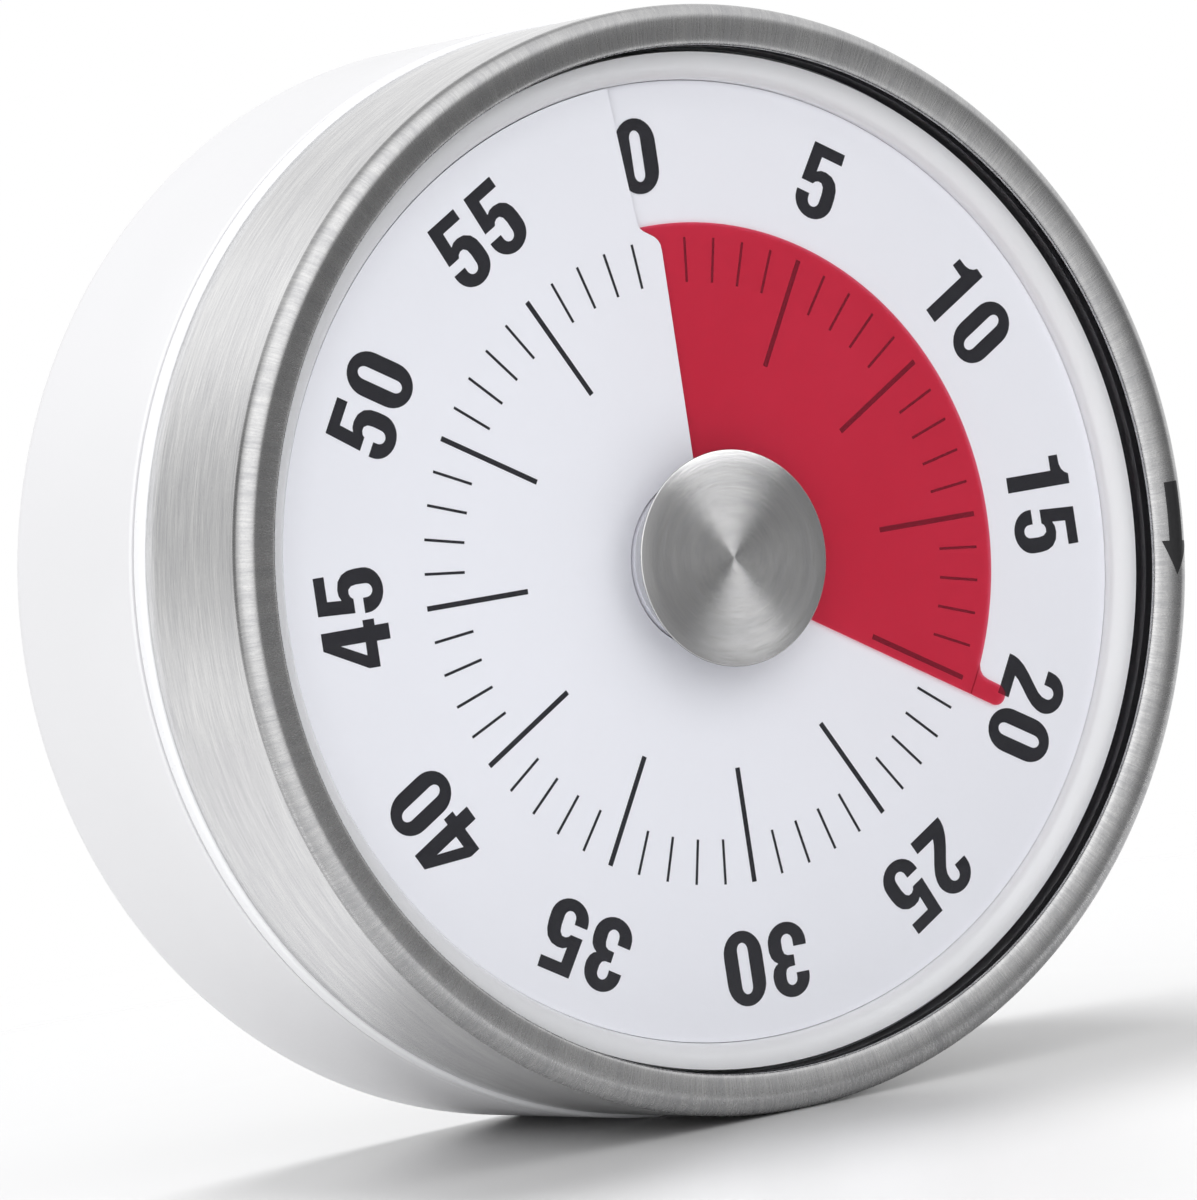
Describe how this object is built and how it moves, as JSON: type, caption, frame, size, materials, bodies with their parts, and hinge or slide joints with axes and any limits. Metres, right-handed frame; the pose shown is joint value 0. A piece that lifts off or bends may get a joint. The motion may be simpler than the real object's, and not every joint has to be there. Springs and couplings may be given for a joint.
{
  "type": "kitchen timer",
  "caption": "Round mechanical kitchen timer: steel grip ring, white drum, slit minute dial with a red film that shows the time left, flat magnetic back.",
  "frame": {"origin": "centre of the flat rear face", "axes": "+Y out of the back, so the dial faces -Y; +Z from the middle of the dial to its zero mark; +X to the right seen from the front"},
  "size_m": [0.0806, 0.0369, 0.0806],
  "materials": {
    "brushed_ring": "brushed round its edge, satin on the face",
    "spun_cap": "spun in fine rings",
    "white_body": "smooth satin gloss",
    "white_carrier": "smooth",
    "white_frame": "high gloss",
    "dial_card": "matt, printed in dark grey",
    "red_sheet": "translucent satin film",
    "clear_lens": "clear",
    "black_gasket": "satin black",
    "white_inner": "moulded",
    "grip_pad": "fine grained",
    "magnet": "nickel plated",
    "screws": "zinc plated",
    "plate_brass": "brushed",
    "wheel_brass": "cut and polished",
    "arbor_steel": "turned",
    "spring_steel": "blued",
    "bell_steel": "nickel plated"
  },
  "bodies": {
    "root": {"housing": "white_body", "rear_cover": "white_body", "rear_pad": "grip_pad", "magnets": "magnet", "cover_screws": "screws", "back_plate": "plate_brass", "front_plate": "plate_brass", "pillars": "arbor_steel", "plate_screws": "screws", "dial_seat": "white_inner", "seat_screws": "screws", "dial": "dial_card", "dial_frame": "white_frame", "bell": "bell_steel", "bell_post": "plate_brass", "bell_screw": "screws", "mainspring": "spring_steel", "hairspring": "spring_steel"},
    "grip_ring": {"bezel_ring": "brushed_ring", "ring_carrier": "white_carrier", "lens": "clear_lens", "lens_gasket": "black_gasket", "centre_cap": "spun_cap", "drive_hub": "white_inner", "main_arbor": "arbor_steel", "great_wheel": "wheel_brass", "release_cam": "white_inner"},
    "red_film": {"red_disc": "red_sheet", "film_hub": "white_inner"},
    "second": {"second_arbor": "arbor_steel", "second_wheel": "wheel_brass"},
    "third": {"third_arbor": "arbor_steel", "third_wheel": "wheel_brass"},
    "escape": {"escape_arbor": "arbor_steel", "escape_wheel": "wheel_brass"},
    "pallet": {"pallet_arbor": "arbor_steel", "pallet_lever": "wheel_brass"},
    "balance": {"balance_staff": "arbor_steel", "balance_wheel": "wheel_brass"},
    "alarm": {"alarm_arbor": "arbor_steel", "alarm_wheel": "wheel_brass"},
    "hammer_body": {"hammer_arbor": "arbor_steel", "hammer": "arbor_steel", "strike_anchor": "wheel_brass", "release_lever": "arbor_steel"}
  },
  "joints": [
    {"name": "winding", "type": "hinge", "parent": "root", "child": "grip_ring", "pos_m": [0, 0, 0], "axis": [0, 1, 0], "range_deg": [-120, 240]},
    {"name": "film_climb", "type": "slide", "parent": "grip_ring", "child": "red_film", "axis": [0, -1, 0], "range_m": [-0.00034, 0.00067]},
    {"name": "second_spin", "type": "hinge", "parent": "root", "child": "second", "pos_m": [-0.01524, 0, -0.0088], "axis": [0, 1, 0], "continuous": true},
    {"name": "third_spin", "type": "hinge", "parent": "root", "child": "third", "pos_m": [-0.01347, 0, -0.01885], "axis": [0, 1, 0], "continuous": true},
    {"name": "escape_spin", "type": "hinge", "parent": "root", "child": "escape", "pos_m": [-0.00387, 0, -0.01885], "axis": [0, 1, 0], "continuous": true},
    {"name": "alarm_spin", "type": "hinge", "parent": "root", "child": "alarm", "pos_m": [0.009, 0, 0.01559], "axis": [0, 1, 0], "continuous": true},
    {"name": "pallet_rock", "type": "hinge", "parent": "root", "child": "pallet", "pos_m": [0.00263, 0, -0.01885], "axis": [0, 1, 0], "range_deg": [-3, 3]},
    {"name": "balance_swing", "type": "hinge", "parent": "root", "child": "balance", "pos_m": [0.01063, 0, -0.01885], "axis": [0, 1, 0], "range_deg": [-120, 120], "stiffness_Nm_per_rad": 0.000008},
    {"name": "hammer_swing", "type": "hinge", "parent": "root", "child": "hammer_body", "pos_m": [0.01275, 0, 0.02208], "axis": [0, 1, 0], "range_deg": [-1.5, 3]}
  ],
  "couplings": [
    {"joint": "film_climb", "follows": "winding", "m_per_rad": 0.00015915},
    {"joint": "second_spin", "follows": "winding", "ratio": -10},
    {"joint": "third_spin", "follows": "winding", "ratio": 75},
    {"joint": "escape_spin", "follows": "winding", "ratio": -525},
    {"joint": "alarm_spin", "follows": "winding", "ratio": -8}
  ]
}
